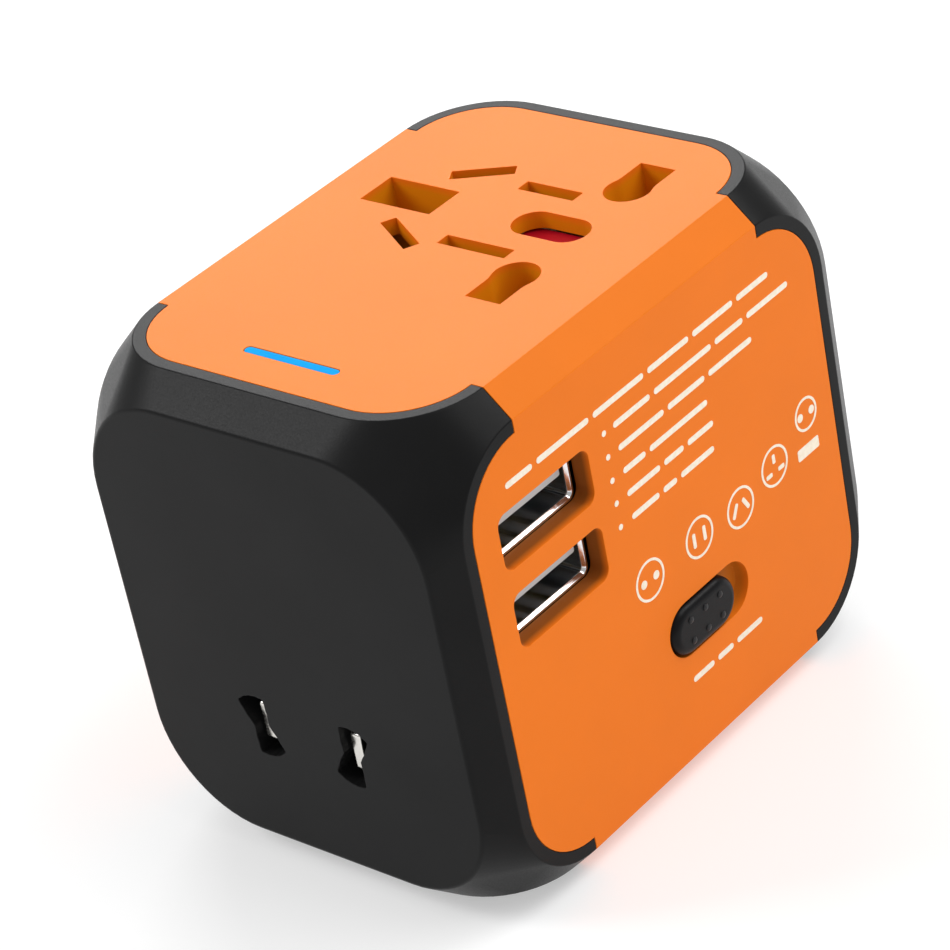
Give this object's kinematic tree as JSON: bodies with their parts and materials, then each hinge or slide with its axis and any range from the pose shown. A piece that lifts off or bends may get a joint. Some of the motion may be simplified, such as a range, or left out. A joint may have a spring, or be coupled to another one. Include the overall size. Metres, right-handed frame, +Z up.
{
  "type": "universal travel adapter",
  "caption": "Cube-shaped travel plug adapter with a universal socket on top, USB-A ports and a release slider on one side, and slide-out plug sets in its end caps.",
  "frame": {"origin": "middle of the bottom face", "axes": "+Z up to the socket face, -Y to the end where the flat blades come out, +X to the side with the USB ports"},
  "size_m": [0.0516, 0.068, 0.0586],
  "materials": {
    "orange_shell": "satin moulded orange polycarbonate",
    "black_shell": "satin moulded black polycarbonate",
    "slider_black": "satin black, finely textured",
    "red_shutter": "moulded red nylon",
    "blue_lens": "translucent blue light guide",
    "usb_shell": "bright nickel plate",
    "usb_tongue": "light grey moulded insulator",
    "nickel_pin": "nickel-plated brass",
    "brass_pin": "polished brass",
    "contact_brass": "stamped phosphor bronze",
    "screw_steel": "blackened steel",
    "spring_steel": "drawn spring steel",
    "ivory_insulator": "moulded insulator",
    "inner_black": "moulded black nylon",
    "circuit_board": "glass-epoxy board with solder mask",
    "transformer_tape": "amber winding tape over ferrite",
    "capacitor_can": "drawn aluminium can",
    "fuse_ceramic": "ceramic tube with metal ends"
  },
  "bodies": {
    "casing": {"body_sleeve": "orange_shell", "front_cap": "black_shell", "rear_cap": "black_shell", "cap_screw_1": "screw_steel", "cap_screw_2": "screw_steel", "cap_screw_3": "screw_steel", "cap_screw_4": "screw_steel", "socket_block": "ivory_insulator", "line_contact": "contact_brass", "neutral_contact": "contact_brass", "shutter_spring": "spring_steel", "light_pipe": "blue_lens", "indicator_led": "ivory_insulator", "usb_shell_1": "usb_shell", "usb_tongue_1": "usb_tongue", "usb_shell_2": "usb_shell", "usb_tongue_2": "usb_tongue", "charger_board": "circuit_board", "transformer": "transformer_tape", "input_capacitor": "capacitor_can", "output_capacitor": "capacitor_can", "inner_chassis": "inner_black", "flat_blade_spring": "spring_steel", "round_pin_guide_rod": "spring_steel", "round_pin_spring": "spring_steel", "long_pin_spring": "spring_steel", "round_pin_slider_spring": "spring_steel", "flat_blade_slider_spring": "spring_steel", "long_pin_slider_spring": "spring_steel", "fuse": "fuse_ceramic", "fuse_clip_front": "contact_brass", "fuse_clip_rear": "contact_brass", "fuse_base": "ivory_insulator"},
    "flat_blade_set": {"flat_blade_carriage": "inner_black"},
    "flat_blade_left_turn": {"flat_blade_left": "nickel_pin"},
    "flat_blade_right_turn": {"flat_blade_right": "nickel_pin"},
    "round_pin_set": {"round_pin_carriage": "inner_black", "round_pin_left": "nickel_pin", "round_pin_right": "nickel_pin"},
    "long_pin_set": {"long_pin_carriage": "inner_black", "long_pin_left": "brass_pin", "long_pin_right": "brass_pin", "long_pin_earth": "inner_black"},
    "round_pin_slider": {"round_pin_slider": "slider_black"},
    "flat_blade_slider": {"flat_blade_slider": "slider_black"},
    "long_pin_slider": {"long_pin_slider": "slider_black"},
    "shutter": {"safety_shutter": "red_shutter"}
  },
  "joints": [
    {"name": "flat_blade_slide", "type": "slide", "parent": "casing", "child": "flat_blade_set", "axis": [0, -1, 0], "range_m": [0, 0.018]},
    {"name": "flat_blade_left_twist", "type": "hinge", "parent": "flat_blade_set", "child": "flat_blade_left_turn", "pos_m": [-0.00635, -0.0133, 0.018], "axis": [0, -1, 0], "range_deg": [0, 30]},
    {"name": "flat_blade_right_twist", "type": "hinge", "parent": "flat_blade_set", "child": "flat_blade_right_turn", "pos_m": [0.00635, -0.0133, 0.018], "axis": [0, 1, 0], "range_deg": [0, 30]},
    {"name": "round_pin_slide", "type": "slide", "parent": "casing", "child": "round_pin_set", "axis": [0, 1, 0], "range_m": [0, 0.0198]},
    {"name": "long_pin_slide", "type": "slide", "parent": "casing", "child": "long_pin_set", "axis": [0, 1, 0], "range_m": [0, 0.0185]},
    {"name": "round_pin_slider_slide", "type": "slide", "parent": "casing", "child": "round_pin_slider", "axis": [0, 1, 0], "range_m": [0, 0.0026], "stiffness_N_per_m": 250, "springref_m": -0.0008, "deforming": ["round_pin_slider_spring"]},
    {"name": "flat_blade_slider_slide", "type": "slide", "parent": "casing", "child": "flat_blade_slider", "axis": [0, -1, 0], "range_m": [0, 0.0026], "stiffness_N_per_m": 250, "springref_m": -0.0008, "deforming": ["flat_blade_slider_spring"]},
    {"name": "long_pin_slider_slide", "type": "slide", "parent": "casing", "child": "long_pin_slider", "axis": [0, 1, 0], "range_m": [0, 0.0026], "stiffness_N_per_m": 250, "springref_m": -0.0008, "deforming": ["long_pin_slider_spring"]},
    {"name": "shutter_slide", "type": "slide", "parent": "casing", "child": "shutter", "axis": [-1, 0, 0], "range_m": [0, 0.0052], "stiffness_N_per_m": 80, "springref_m": -0.001, "deforming": ["shutter_spring"]}
  ]
}
